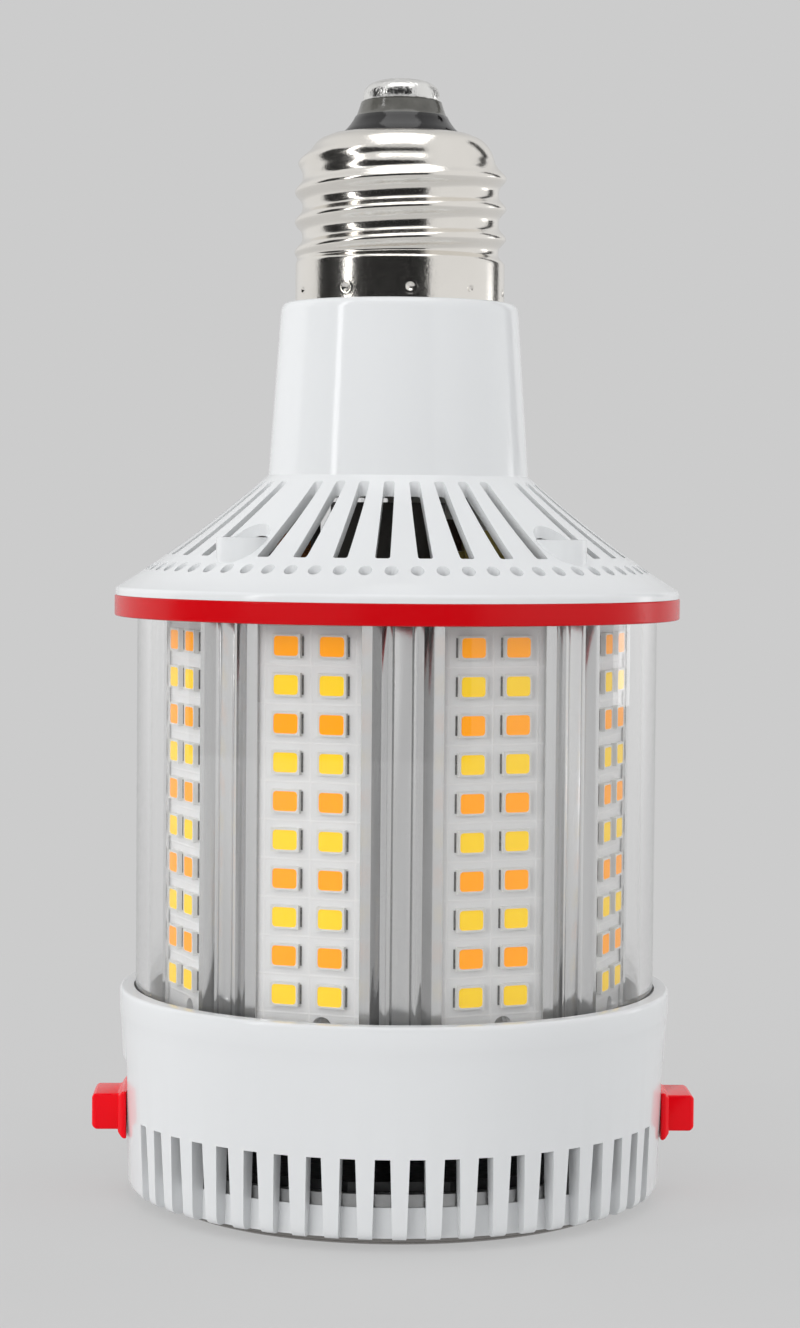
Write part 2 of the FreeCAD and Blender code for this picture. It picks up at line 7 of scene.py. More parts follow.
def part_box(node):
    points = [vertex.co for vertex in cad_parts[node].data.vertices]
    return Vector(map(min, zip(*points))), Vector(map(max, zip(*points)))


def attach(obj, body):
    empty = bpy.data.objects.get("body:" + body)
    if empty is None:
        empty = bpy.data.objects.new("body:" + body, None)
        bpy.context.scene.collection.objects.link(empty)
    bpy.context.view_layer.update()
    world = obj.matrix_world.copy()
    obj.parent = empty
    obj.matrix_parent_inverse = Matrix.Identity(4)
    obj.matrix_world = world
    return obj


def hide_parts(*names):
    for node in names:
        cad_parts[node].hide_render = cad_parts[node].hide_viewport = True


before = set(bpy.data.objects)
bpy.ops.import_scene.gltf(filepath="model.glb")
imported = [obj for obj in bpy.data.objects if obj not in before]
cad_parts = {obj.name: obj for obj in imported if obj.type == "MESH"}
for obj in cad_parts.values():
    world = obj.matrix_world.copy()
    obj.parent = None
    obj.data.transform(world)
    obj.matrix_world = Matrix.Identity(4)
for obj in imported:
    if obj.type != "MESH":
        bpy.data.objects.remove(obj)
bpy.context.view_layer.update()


# Heat sink: an eight-sided aluminium extrusion that carries the LED boards in its channels.
# It is sawn to length and left bare, so the die's fine lines run along its posts and lips.

MM = 0.001


def surface_group():
    """Slow patches of colour, and a fine grain for gloss and relief, in the piece's own coordinates."""
    group = bpy.data.node_groups.new("surface_variation", "ShaderNodeTree")
    face = group.interface
    face.new_socket("Color", in_out="INPUT", socket_type="NodeSocketColor")
    face.new_socket("Patch Color", in_out="INPUT", socket_type="NodeSocketColor")
    for name in ("Patch Scale", "Grain Scale", "Stretch", "Smoothest", "Roughest"):
        face.new_socket(name, in_out="INPUT", socket_type="NodeSocketFloat")
    face.new_socket("Color", in_out="OUTPUT", socket_type="NodeSocketColor")
    face.new_socket("Roughness", in_out="OUTPUT", socket_type="NodeSocketFloat")
    face.new_socket("Height", in_out="OUTPUT", socket_type="NodeSocketFloat")
    nodes, links = group.nodes, group.links
    given = nodes.new("NodeGroupInput")
    out = nodes.new("NodeGroupOutput")
    place = nodes.new("ShaderNodeTexCoord")
    squeeze = nodes.new("ShaderNodeCombineXYZ")
    squeeze.inputs["X"].default_value = 1.0
    squeeze.inputs["Y"].default_value = 1.0
    links.new(given.outputs["Stretch"], squeeze.inputs["Z"])
    stretched = nodes.new("ShaderNodeVectorMath")
    stretched.operation = "MULTIPLY"
    links.new(place.outputs["Object"], stretched.inputs[0])
    links.new(squeeze.outputs["Vector"], stretched.inputs[1])
    patches = nodes.new("ShaderNodeTexNoise")
    patches.inputs["Detail"].default_value = 3.0
    grain = nodes.new("ShaderNodeTexNoise")
    grain.inputs["Detail"].default_value = 4.0
    for noise, scale in ((patches, "Patch Scale"), (grain, "Grain Scale")):
        links.new(stretched.outputs["Vector"], noise.inputs["Vector"])
        links.new(given.outputs[scale], noise.inputs["Scale"])
    shade = nodes.new("ShaderNodeMix")
    shade.data_type = "RGBA"
    links.new(patches.outputs["Fac"], shade.inputs["Factor"])
    links.new(given.outputs["Color"], shade.inputs["A"])
    links.new(given.outputs["Patch Color"], shade.inputs["B"])
    gloss = nodes.new("ShaderNodeMapRange")
    gloss.inputs["From Min"].default_value = 0.3
    gloss.inputs["From Max"].default_value = 0.7
    links.new(grain.outputs["Fac"], gloss.inputs["Value"])
    links.new(given.outputs["Smoothest"], gloss.inputs["To Min"])
    links.new(given.outputs["Roughest"], gloss.inputs["To Max"])
    links.new(shade.outputs["Result"], out.inputs["Color"])
    links.new(gloss.outputs["Result"], out.inputs["Roughness"])
    links.new(grain.outputs["Fac"], out.inputs["Height"])
    return group


surface_variation = surface_group()


def new_finish(name, color, patch_color, patch, grain, gloss, relief, stretch=1.0, **sockets):
    """Material with the shared surface variation; other sockets are set on its shader by name."""
    finish = bpy.data.materials.new(name)
    finish.use_nodes = True
    nodes, links = finish.node_tree.nodes, finish.node_tree.links
    shader = nodes["Principled BSDF"]
    variation = nodes.new("ShaderNodeGroup")
    variation.name = "variation"
    variation.node_tree = surface_variation
    variation.inputs["Color"].default_value = (*color, 1)
    variation.inputs["Patch Color"].default_value = (*patch_color, 1)
    variation.inputs["Patch Scale"].default_value = patch
    variation.inputs["Grain Scale"].default_value = grain
    variation.inputs["Stretch"].default_value = stretch
    variation.inputs["Smoothest"].default_value = gloss[0]
    variation.inputs["Roughest"].default_value = gloss[1]
    bump = nodes.new("ShaderNodeBump")
    bump.name = "relief"
    bump.inputs["Strength"].default_value = 1.0
    bump.inputs["Distance"].default_value = relief * MM
    links.new(variation.outputs["Color"], shader.inputs["Base Color"])
    links.new(variation.outputs["Roughness"], shader.inputs["Roughness"])
    links.new(variation.outputs["Height"], bump.inputs["Height"])
    links.new(bump.outputs["Normal"], shader.inputs["Normal"])
    for socket, value in sockets.items():
        shader.inputs[socket.replace("_", " ")].default_value = value
    return finish


def take_up(piece):
    """Selects one piece alone, for the operators that follow."""
    bpy.ops.object.select_all(action="DESELECT")
    piece.select_set(True)
    bpy.context.view_layer.objects.active = piece


def smoothed(piece, angle):
    """Faces are shaded smooth where they meet at less than the angle, in degrees."""
    take_up(piece)
    bpy.ops.object.shade_smooth_by_angle(angle=math.radians(angle))


def eased(piece, width, segments=2, angle=30):
    """Sharp edges are rounded over by a width in millimetres, and faces shaded smooth between them."""
    smoothed(piece, angle)
    edge = piece.modifiers.new("edge", "BEVEL")
    edge.width = width * MM
    edge.segments = segments
    edge.limit_method = "ANGLE"
    edge.angle_limit = math.radians(angle)
    edge.harden_normals = True
    bpy.ops.object.modifier_apply(modifier=edge.name)


def eased_node(node, name, width, segments=3):
    """Copy of a solid with its points merged, its flat faces made whole and its edges rounded over."""
    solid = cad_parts[node]
    piece = solid.copy()
    piece.data = solid.data.copy()
    piece.parent = None
    piece.name = name
    bpy.context.scene.collection.objects.link(piece)
    take_up(piece)
    bpy.ops.object.mode_set(mode="EDIT")
    bpy.ops.mesh.select_all(action="SELECT")
    bpy.ops.mesh.remove_doubles(threshold=0.001 * MM)
    bpy.ops.mesh.dissolve_limited(angle_limit=math.radians(1))
    bpy.ops.object.mode_set(mode="OBJECT")
    eased(piece, width, segments)
    return piece


def coat(piece, finish):
    """The whole piece gets one finish."""
    piece.data.materials.clear()
    piece.data.materials.append(finish)


def seat(piece, node, body="lamp_body"):
    """The piece stands in its solid's place, which is hidden, and moves with its body."""
    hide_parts(node)
    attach(piece, body)


bare_aluminium = new_finish("bare_aluminium", (0.86, 0.86, 0.85), (0.70, 0.70, 0.71), patch=600,
                            grain=1600, stretch=0.0002, gloss=(0.12, 0.24), relief=0.003, Metallic=1.0)
sink = eased_node("heat_sink", "sink", width=0.05, segments=1)
coat(sink, bare_aluminium)
seat(sink, "heat_sink")


# LED boards: white-masked aluminium strips slid into the channels, one on each side.
# Copper runs stand under the mask as low ridges between the rows, and a round hole marks the foot.

FACES = 8
FACE_TURN = 360 / FACES
HALF_FACE = math.radians(FACE_TURN / 2)
FACE_ANGLES = [(face + 0.5) * FACE_TURN for face in range(FACES)]
LED_HALF_W = 1.75 * MM
LED_HALF_H = 1.4 * MM


def reach_of(node):
    """How far a node on the first face stands from the lamp's axis, and half its width."""
    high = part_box(node)[1]
    shared = math.cos(2 * HALF_FACE)
    reach = (high.x * math.cos(HALF_FACE) - high.y * math.sin(HALF_FACE)) / shared
    half = (high.y * math.cos(HALF_FACE) - high.x * math.sin(HALF_FACE)) / shared
    return reach, half


BOARD_FACE, BOARD_HALF = reach_of("led_board_1")
BOARD_T = 1.2 * MM
board_low, board_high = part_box("led_board_1")
LED_FACE, leds_half = reach_of("warm_leds_1")
COLUMN_STEP = 2 * (leds_half - LED_HALF_W)
warm_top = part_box("warm_leds_1")[1].z
TOP_ROW = warm_top - LED_HALF_H
ROW_STEP = warm_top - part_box("cool_leds_1")[1].z
HOLE_R = 1.2 * MM
HOLE_UP = 5.25 * MM
HOLE_ASIDE = 1.65 * MM
RUN_WHITE = (0.95, 0.95, 0.95, 1)
RUN_HALF_W = 0.2
RUN_RISE = 0.03 * MM


def block_piece(name, low, high):
    """Start of a rectangular piece between two corners, with its place in its mesh."""
    bpy.ops.object.select_all(action="DESELECT")
    low, high = Vector(low), Vector(high)
    bpy.ops.mesh.primitive_cube_add(size=1, location=(low + high) / 2)
    piece = bpy.context.object
    piece.name = name
    piece.scale = high - low
    bpy.ops.object.transform_apply(location=True, rotation=True, scale=True)
    return piece


def cut_away(piece, tool, operation="DIFFERENCE"):
    """The tool is cut from the piece, or joined to it, and is gone afterwards."""
    take_up(piece)
    step = piece.modifiers.new("cut", "BOOLEAN")
    step.operation = operation
    step.solver = "EXACT"
    step.object = tool
    bpy.ops.object.modifier_apply(modifier=step.name)
    bpy.data.objects.remove(tool)


def turned_copy(piece, name, angle):
    """Copy with its own mesh, turned about the lamp's axis in degrees."""
    copy = piece.copy()
    copy.data = piece.data.copy()
    copy.name = name
    copy.data.transform(Matrix.Rotation(math.radians(angle), 4, "Z"))
    bpy.context.scene.collection.objects.link(copy)
    return copy


board_white = new_finish("board_white", (0.92, 0.925, 0.925), (0.87, 0.875, 0.88), patch=120, grain=1800,
                         gloss=(0.28, 0.42), relief=0.012)


def add_copper_runs(finish):
    """Low ridges between the rows and columns, on the board's own map in millimetres."""
    nodes, links = finish.node_tree.nodes, finish.node_tree.links
    where = nodes.new("ShaderNodeUVMap")
    where.uv_map = "board"
    runs = nodes.new("ShaderNodeTexBrick")
    runs.offset = 0.0
    runs.inputs["Scale"].default_value = 1.0
    runs.inputs["Mortar Size"].default_value = RUN_HALF_W
    runs.inputs["Mortar Smooth"].default_value = 1.0
    runs.inputs["Brick Width"].default_value = COLUMN_STEP / MM
    runs.inputs["Row Height"].default_value = ROW_STEP / MM
    links.new(where.outputs["UV"], runs.inputs["Vector"])
    ridges = nodes.new("ShaderNodeBump")
    ridges.inputs["Distance"].default_value = RUN_RISE
    links.new(runs.outputs["Fac"], ridges.inputs["Height"])
    links.new(nodes["relief"].outputs["Normal"], ridges.inputs["Normal"])
    links.new(ridges.outputs["Normal"], nodes["Principled BSDF"].inputs["Normal"])
    lighter = nodes.new("ShaderNodeMix")
    lighter.data_type = "RGBA"
    lighter.inputs["B"].default_value = RUN_WHITE
    links.new(runs.outputs["Fac"], lighter.inputs["Factor"])
    links.new(nodes["variation"].outputs["Color"], lighter.inputs["A"])
    links.new(lighter.outputs["Result"], nodes["Principled BSDF"].inputs["Base Color"])


add_copper_runs(board_white)
board = block_piece("board", (BOARD_FACE - BOARD_T, -BOARD_HALF, board_low.z),
                    (BOARD_FACE, BOARD_HALF, board_high.z))
bpy.ops.mesh.primitive_cylinder_add(vertices=24, radius=HOLE_R, depth=4 * BOARD_T,
                                    location=(BOARD_FACE, HOLE_ASIDE, board_low.z + HOLE_UP),
                                    rotation=(0, math.radians(90), 0))
cut_away(board, bpy.context.object)
coat(board, board_white)
board_map = board.data.uv_layers.new(name="board")
for loop in board.data.loops:
    spot = board.data.vertices[loop.vertex_index].co
    board_map.data[loop.index].uv = (spot.y / MM, (spot.z - TOP_ROW + ROW_STEP / 2) / MM)
for number, angle in enumerate(FACE_ANGLES, 1):
    seat(turned_copy(board, f"board_{number}", angle), f"led_board_{number}")
bpy.data.objects.remove(board)


# LEDs: white moulded packages soldered to the boards in two columns, rows of warm and cool by turns.
# Each has a rounded window of phosphor a little below its frame, and solder at its two ends.

COLUMNS = 2
ROWS_OF_A_SHADE = 5
FRAME_W = 0.24 * MM
WINDOW_CORNER = 0.38 * MM
WINDOW_DEPTH = 0.06 * MM
JOINT_HALF_W = 0.2 * MM
JOINT_HALF_H = 1.15 * MM
JOINT_T = 0.22 * MM
JOINT_TOE = 0.05 * MM
FACING = 0.9
package_white = new_finish("package_white", (0.86, 0.86, 0.84), (0.80, 0.79, 0.76), patch=900, grain=3000,
                           gloss=(0.3, 0.45), relief=0.01)
# The solder is near black in patches: its own dull grey, darkened with painted shade that falls beside
# each package.
solder_and_shade = new_finish("solder_and_shade", (0.30, 0.29, 0.28), (0.02, 0.02, 0.02), patch=2600, grain=3000,
                    gloss=(0.2, 0.5), relief=0.05, Metallic=0.9)
# The phosphor finishes carry a painted glow: a faint emission that brightens the unlit LEDs, on the side
# boards and on the end board.
warm_phosphor_glow = new_finish("warm_phosphor_glow", (1.0, 0.38, 0.0), (1.0, 0.33, 0.0), patch=700, grain=4000,
                           gloss=(0.45, 0.55), relief=0.01, Specular_IOR_Level=0.02,
                           Emission_Color=(1.0, 0.36, 0.0, 1), Emission_Strength=0.4)
cool_phosphor_glow = new_finish("cool_phosphor_glow", (1.0, 0.68, 0.02), (1.0, 0.62, 0.01), patch=700, grain=4000,
                           gloss=(0.45, 0.55), relief=0.01, Specular_IOR_Level=0.02,
                           Emission_Color=(1.0, 0.66, 0.02, 1), Emission_Strength=0.32)


def select_faces(piece, chosen):
    """Selects the faces for which chosen(face) holds, in face mode."""
    bpy.ops.object.mode_set(mode="EDIT")
    bpy.ops.mesh.select_mode(type="FACE")
    bpy.ops.mesh.select_all(action="DESELECT")
    bpy.ops.object.mode_set(mode="OBJECT")
    for face in piece.data.polygons:
        face.select = chosen(face)
    bpy.ops.object.mode_set(mode="EDIT")


def joined(pieces, name):
    """Several pieces made one object."""
    take_up(pieces[0])
    for piece in pieces[1:]:
        piece.select_set(True)
    bpy.ops.object.join()
    pieces[0].name = name
    return pieces[0]


def solder_joint(end, z, side):
    """Wedge of solder at a package's end, high against it and thin at its toe."""
    joint = block_piece("joint", (BOARD_FACE, end - JOINT_HALF_W, z - JOINT_HALF_H),
                        (BOARD_FACE + JOINT_T, end + JOINT_HALF_W, z + JOINT_HALF_H))
    for point in joint.data.vertices:
        if point.co.x > BOARD_FACE + JOINT_TOE and side * (point.co.y - end) > 0:
            point.co.x = BOARD_FACE + JOINT_TOE
    return joint


def led_package(name, glowing_phosphor, first_row):
    """One package with its solder, then the column beside it and every second row below."""
    z = TOP_ROW - first_row * ROW_STEP
    y = -COLUMN_STEP / 2
    finishes = (package_white, glowing_phosphor, solder_and_shade)
    led = block_piece(name, (BOARD_FACE, y - LED_HALF_W, z - LED_HALF_H),
                      (LED_FACE, y + LED_HALF_W, z + LED_HALF_H))
    for finish in finishes:
        led.data.materials.append(finish)
    select_faces(led, lambda face: face.normal.x > FACING)
    bpy.ops.mesh.inset(thickness=FRAME_W)
    bpy.ops.mesh.bevel(offset=WINDOW_CORNER, segments=2, affect="VERTICES")
    bpy.ops.object.mode_set(mode="OBJECT")
    middle = Vector((LED_FACE, y, z))
    select_faces(led, lambda face: (face.center - middle).length < FRAME_W / 2)
    bpy.ops.mesh.extrude_region_move(TRANSFORM_OT_translate={"value": (-WINDOW_DEPTH, 0, 0)})
    bpy.ops.object.mode_set(mode="OBJECT")
    for face in led.data.polygons:
        face.material_index = finishes.index(glowing_phosphor if face.select else package_white)
    joints = []
    for side in (-1, 1):
        joint = solder_joint(y + side * LED_HALF_W, z, side)
        for finish in finishes:
            joint.data.materials.append(finish)
        for face in joint.data.polygons:
            face.material_index = finishes.index(solder_and_shade)
        joints.append(joint)
    joined([led, *joints], name)
    for count, step in ((COLUMNS, (0, COLUMN_STEP, 0)), (ROWS_OF_A_SHADE, (0, 0, -2 * ROW_STEP))):
        row = led.modifiers.new("row", "ARRAY")
        row.count = count
        row.use_relative_offset = False
        row.use_constant_offset = True
        row.constant_offset_displace = step
        bpy.ops.object.modifier_apply(modifier=row.name)
    return led


for shade, glowing_phosphor, first_row in (("warm", warm_phosphor_glow, 0), ("cool", cool_phosphor_glow, 1)):
    strip = led_package(f"{shade}_strip", glowing_phosphor, first_row)
    for number, angle in enumerate(FACE_ANGLES, 1):
        packages = turned_copy(strip, f"{shade}_packages_{number}", angle)
        seat(packages, f"{shade}_leds_{number}")
    bpy.data.objects.remove(strip)


# Driver: a green board on the heat sink's end with its can, transformer, choke and small parts.
# Only its dark can and gold tape show, through the shoulder's vents.


def paint_node(node, finish):
    """A solid that keeps its shape gets its finish."""
    coat(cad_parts[node], finish)


board_green = new_finish("board_green", (0.02, 0.13, 0.05), (0.01, 0.08, 0.03), patch=200, grain=1500,
                         gloss=(0.25, 0.4), relief=0.02)
can_sleeve = new_finish("can_sleeve", (0.022, 0.020, 0.019), (0.05, 0.045, 0.04), patch=350, grain=1400,
                        gloss=(0.3, 0.6), relief=0.05)
gold_tape = new_finish("gold_tape", (0.42, 0.32, 0.07), (0.16, 0.13, 0.04), patch=700, grain=1500,
                       gloss=(0.25, 0.5), relief=0.08)
copper_winding = new_finish("copper_winding", (0.55, 0.22, 0.08), (0.30, 0.10, 0.04), patch=400,
                            grain=2200, stretch=6.0, gloss=(0.2, 0.4), relief=0.1, Metallic=0.8)
dipped_coat = new_finish("dipped_coat", (0.10, 0.05, 0.03), (0.06, 0.03, 0.02), patch=300, grain=900,
                         gloss=(0.15, 0.3), relief=0.05)
black_resin = new_finish("black_resin", (0.02, 0.02, 0.02), (0.04, 0.04, 0.04), patch=300, grain=2500,
                         gloss=(0.5, 0.7), relief=0.05)
wire_cover = new_finish("wire_cover", (0.03, 0.03, 0.03), (0.05, 0.05, 0.05), patch=300, grain=1500,
                        gloss=(0.35, 0.5), relief=0.02)
tinned_copper = new_finish("tinned_copper", (0.72, 0.62, 0.52), (0.55, 0.45, 0.36), patch=500, grain=2000,
                           gloss=(0.2, 0.4), relief=0.02, Metallic=1.0)
screw_steel = new_finish("screw_steel", (0.60, 0.60, 0.60), (0.48, 0.48, 0.47), patch=500, grain=2500,
                         gloss=(0.2, 0.4), relief=0.02, Metallic=1.0)
for node, finish in (
    ("driver_board", board_green),
    ("bulk_capacitor", can_sleeve),
    ("transformer", gold_tape),
    ("filter_choke", copper_winding),
    ("film_capacitor", dipped_coat),
    ("bridge_rectifier", black_resin),
    ("live_lead", wire_cover),
    ("neutral_lead", wire_cover),
    ("switch_cable", wire_cover),
    ("board_jumpers", tinned_copper),
    ("housing_screws", screw_steel),
    ("collar_screws", screw_steel),
):
    paint_node(node, finish)


# Clear cover: a drawn tube of clear plastic over the boards, its ends cut square and eased.
# It sits in the collar below and under the housing's rim above.


def outside(node):
    """Largest radius, foot and top of a turned node, in millimetres."""
    low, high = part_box(node)
    return high.x / MM, low.z / MM, high.z / MM


def turned_piece(name, steps, sides=160):
    """Piece turned about the lamp's axis, drawn through steps of radius and height in millimetres."""
    bpy.ops.object.select_all(action="DESELECT")
    radius, z = steps[0]
    bpy.ops.mesh.primitive_circle_add(vertices=sides, radius=radius * MM, location=(0, 0, z * MM))
    piece = bpy.context.object
    piece.name = name
    bpy.ops.object.transform_apply(location=True, rotation=True, scale=True)
    bpy.ops.object.mode_set(mode="EDIT")
    bpy.ops.mesh.select_mode(type="VERT")
    bpy.ops.mesh.select_all(action="SELECT")
    for next_radius, next_z in steps[1:]:
        bpy.ops.mesh.extrude_region_move(TRANSFORM_OT_translate={"value": (0, 0, (next_z - z) * MM)})
        if next_radius != radius:
            share = next_radius / radius
            bpy.ops.transform.resize(value=(share, share, 1), center_override=(0, 0, next_z * MM))
        radius, z = next_radius, next_z
    bpy.ops.mesh.select_all(action="SELECT")
    bpy.ops.mesh.remove_doubles(threshold=0.0005 * MM)
    bpy.ops.mesh.normals_make_consistent(inside=False)
    bpy.ops.object.mode_set(mode="OBJECT")
    return piece


clear_plastic = new_finish("clear_plastic", (0.985, 0.985, 0.985), (0.97, 0.97, 0.97), patch=40,
                           grain=300, gloss=(0.01, 0.03), relief=0.001, Transmission_Weight=1.0,
                           IOR=1.49)


def blend_shaders(tree, share, first, second, end):
    """Two shaders are mixed by a share that changes from ray to ray, and led to the end node."""
    blend = tree.nodes.new("ShaderNodeMixShader")
    tree.links.new(share, blend.inputs["Fac"])
    tree.links.new(first, blend.inputs[1])
    tree.links.new(second, blend.inputs[2])
    tree.links.new(blend.outputs["Shader"], tree.nodes[end].inputs["Surface"])


def let_light_through(finish):
    """Lamps shine straight through the clear wall onto what is behind it."""
    nodes = finish.node_tree.nodes
    path = nodes.new("ShaderNodeLightPath")
    clear = nodes.new("ShaderNodeBsdfTransparent")
    blend_shaders(finish.node_tree, path.outputs["Is Shadow Ray"],
                  nodes["Principled BSDF"].outputs["BSDF"], clear.outputs["BSDF"], "Material Output")


let_light_through(clear_plastic)
COVER_R, COVER_FOOT, COVER_TOP = outside("clear_cover")
COVER_WALL = 1.7
COVER_BORE = COVER_R - COVER_WALL
cover = turned_piece("cover", [
    (COVER_BORE, COVER_FOOT), (COVER_R, COVER_FOOT), (COVER_R, COVER_TOP), (COVER_BORE, COVER_TOP),
    (COVER_BORE, COVER_FOOT),
])
eased(cover, width=0.25)
coat(cover, clear_plastic)
seat(cover, "clear_cover")


# Lower collar: a white moulding screwed to the heat sink's end, with a lip round the clear cover.
# Its foot is cut into teeth that taper downwards, and a flat on each side carries a selector knob.

COLLAR_R, COLLAR_FOOT, COLLAR_TOP = outside("lower_collar")
RING_FOOT = outside("end_lens")[2]
RING_TOP = outside("end_board")[1]
COVER_GAP = 0.2
COLLAR_BORE = COVER_R + COVER_GAP
LIP_PROUD = 1.15
FOOT_R = COLLAR_R - LIP_PROUD
FOOT_WALL = 1.6
FOOT_BORE = FOOT_R - FOOT_WALL
FOOT_CORNER_W = 0.9
FOOT_CORNER_H = 1.2
FOOT_DRAFT = 0.04
RING_W = 4.6
RING_BORE = FOOT_BORE - RING_W
SHELF_BORE = 23.0
SHELF_T = 2.0
SHELF_FOOT = COVER_FOOT - SHELF_T
LIP_H = 4.9
LIP_FOOT = COLLAR_TOP - LIP_H
LIP_STEP = 0.23
LIP_BEND = (COLLAR_R - 0.15, LIP_FOOT + 1.2)
LIP_CURVE_H = 2.2
LIP_EDGE_W = 0.4
LIP_EDGE_H = 0.6
SLOTS = 52
SLOTS_LEFT_OUT = 3
SLOT_BACK = FOOT_BORE + 0.02
SLOT_END = 36
SLOT_OPENING = 1.8
SLOT_FOOT = 1.0
SLOT_TOP = RING_FOOT + 9.3
SLOT_HALF_W = 1.0
SLOT_TAPER = (0.9, 0.28)
KNOB_PROUD = 4.6
FLAT_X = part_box("power_knob")[1].x / MM - KNOB_PROUD
FLAT_END = 37
FLAT_HALF_W = 36
FLAT_TOP = RING_FOOT + 16.1
FLAT_RISE = 1.6
STEM_START = 28
STEM_END = 35
STEM_HALF_W = 3.6
STEM_HALF_H = 1.5
KNOB_Z = RING_FOOT + 9.1
white_moulding = new_finish("white_moulding", (0.80, 0.81, 0.82), (0.77, 0.78, 0.785), patch=25,
                            grain=1500, gloss=(0.09, 0.14), relief=0.002)


def rounded(start, corner, end, steps=4):
    """Curve that leaves a profile's start towards the corner and bends round to its end."""
    points = []
    for step in range(steps + 1):
        share = step / steps
        weights = ((1 - share) ** 2, 2 * share * (1 - share), share ** 2)
        drawn = list(zip(weights, (start, corner, end)))
        radius = sum(weight * point[0] for weight, point in drawn)
        height = sum(weight * point[1] for weight, point in drawn)
        points.append((radius, height))
    return points


def block_in_mm(name, low, high):
    """Start of a rectangular piece between two corners that are given in millimetres."""
    return block_piece(name, Vector(low) * MM, Vector(high) * MM)


def draw_out(x=0, z=0):
    """The selected faces are drawn out by a step in millimetres, and edit mode is left."""
    bpy.ops.mesh.extrude_region_move(TRANSFORM_OT_translate={"value": (x * MM, 0, z * MM)})
    bpy.ops.object.mode_set(mode="OBJECT")


def foot_slot():
    """Tool for one slot along +X: open to the inside above the foot ring, a recess in front of it."""
    tool = block_in_mm("slot", (SLOT_BACK, -SLOT_HALF_W, SLOT_FOOT), (SLOT_END, SLOT_HALF_W, RING_TOP))
    select_faces(tool, lambda face: face.normal.z > FACING)
    draw_out(z=SLOT_TOP - RING_TOP)
    select_faces(tool, lambda face: face.normal.x < -FACING and face.center.z > RING_TOP * MM)
    draw_out(x=-SLOT_OPENING)
    for point in tool.data.vertices:
        share = (SLOT_TOP - point.co.z / MM) / (SLOT_TOP - SLOT_FOOT)
        point.co.y *= SLOT_TAPER[0] + SLOT_TAPER[1] * share
    return tool


def slot_angles():
    """Slots lie half a step each side of the front, and leave a plain wall at each knob."""
    step = 360 / SLOTS
    angles = [(number + 0.5) * step for number in range(SLOTS)]
    return [angle for angle in angles if min(angle % 180, 180 - angle % 180) > SLOTS_LEFT_OUT * step]


def ring_of_tools(tool, angles):
    """The tool's copies at several angles, as one object."""
    copies = [turned_copy(tool, tool.name, angle) for angle in angles]
    bpy.data.objects.remove(tool)
    return joined(copies, "tools")


collar = turned_piece("collar", [
    (FOOT_BORE, COLLAR_FOOT),
    *rounded((FOOT_R - FOOT_CORNER_W, COLLAR_FOOT), (FOOT_R - FOOT_DRAFT, COLLAR_FOOT),
             (FOOT_R + FOOT_DRAFT, COLLAR_FOOT + FOOT_CORNER_H)),
    *rounded((COLLAR_R - LIP_STEP, LIP_FOOT), LIP_BEND, (COLLAR_R, LIP_FOOT + LIP_CURVE_H)),
    *rounded((COLLAR_R, COLLAR_TOP - LIP_EDGE_H), (COLLAR_R, COLLAR_TOP),
             (COLLAR_R - LIP_EDGE_W, COLLAR_TOP)),
    (COLLAR_BORE, COLLAR_TOP), (COLLAR_BORE, COVER_FOOT),
    (SHELF_BORE, COVER_FOOT), (SHELF_BORE, SHELF_FOOT),
    (FOOT_BORE, SHELF_FOOT), (FOOT_BORE, RING_TOP),
    (RING_BORE, RING_TOP), (RING_BORE, RING_FOOT),
    (FOOT_BORE, RING_FOOT), (FOOT_BORE, COLLAR_FOOT),
], sides=208)
cut_away(collar, ring_of_tools(foot_slot(), slot_angles()))
for turn in (0, 180):
    flat = block_in_mm("flat", (FLAT_X, -FLAT_HALF_W, 0), (FLAT_END, FLAT_HALF_W, FLAT_TOP))
    for point in flat.data.vertices:
        if point.co.z > RING_TOP * MM and point.co.x > COLLAR_R * MM:
            point.co.z += FLAT_RISE * MM
    stem = block_in_mm("stem", (STEM_START, -STEM_HALF_W, KNOB_Z - STEM_HALF_H),
                       (STEM_END, STEM_HALF_W, KNOB_Z + STEM_HALF_H))
    for tool in (flat, stem):
        cut_away(collar, ring_of_tools(tool, [turn]))
eased(collar, width=0.12, angle=40)
coat(collar, white_moulding)
seat(collar, "lower_collar")


# Selector knobs: red mouldings that slide along the collar's flats on a bevelled plate.
# A stem behind each one goes through the wall into its switch.

knob_red = new_finish("knob_red", (0.95, 0.0, 0.010), (0.88, 0.0, 0.006), patch=60, grain=1500,
                      gloss=(0.14, 0.22), relief=0.004, Specular_IOR_Level=0.2)
for node, body in (("power_knob", "power_selector"), ("color_knob", "color_selector")):
    knob = eased_node(node, f"{node}_moulding", width=0.22)
    coat(knob, knob_red)
    seat(knob, node, body)


# End of the lamp: the switch board and end board lie on the collar's foot ring, LEDs facing down.
# A smoked lens closes the end and is what the lamp stands on.

POLE = 0.001
LENS_R, LENS_FOOT, LENS_TOP = outside("end_lens")
LENS_CORNER = 0.8
# The switch board is black, and its black is also painted shade: it darkens the floor inside the collar,
# which lies in shade.
board_black = new_finish("board_black", (0.015, 0.015, 0.016), (0.03, 0.03, 0.03), patch=200, grain=1500,
                         gloss=(0.3, 0.5), relief=0.02)
board_metal = new_finish("board_metal", (0.50, 0.50, 0.50), (0.40, 0.40, 0.40), patch=200, grain=2000,
                         gloss=(0.3, 0.5), relief=0.01, Metallic=0.8)
smoked_plastic = new_finish("smoked_plastic", (0.14, 0.13, 0.12), (0.11, 0.10, 0.09), patch=60, grain=400,
                            gloss=(0.05, 0.12), relief=0.01, Transmission_Weight=0.9, IOR=1.49)
for node, finish in (
    ("switch_board", board_black),
    ("end_board", board_metal),
    ("power_switch", black_resin),
    ("color_switch", black_resin),
    ("end_warm_leds", warm_phosphor_glow),
    ("end_cool_leds", cool_phosphor_glow),
):
    paint_node(node, finish)
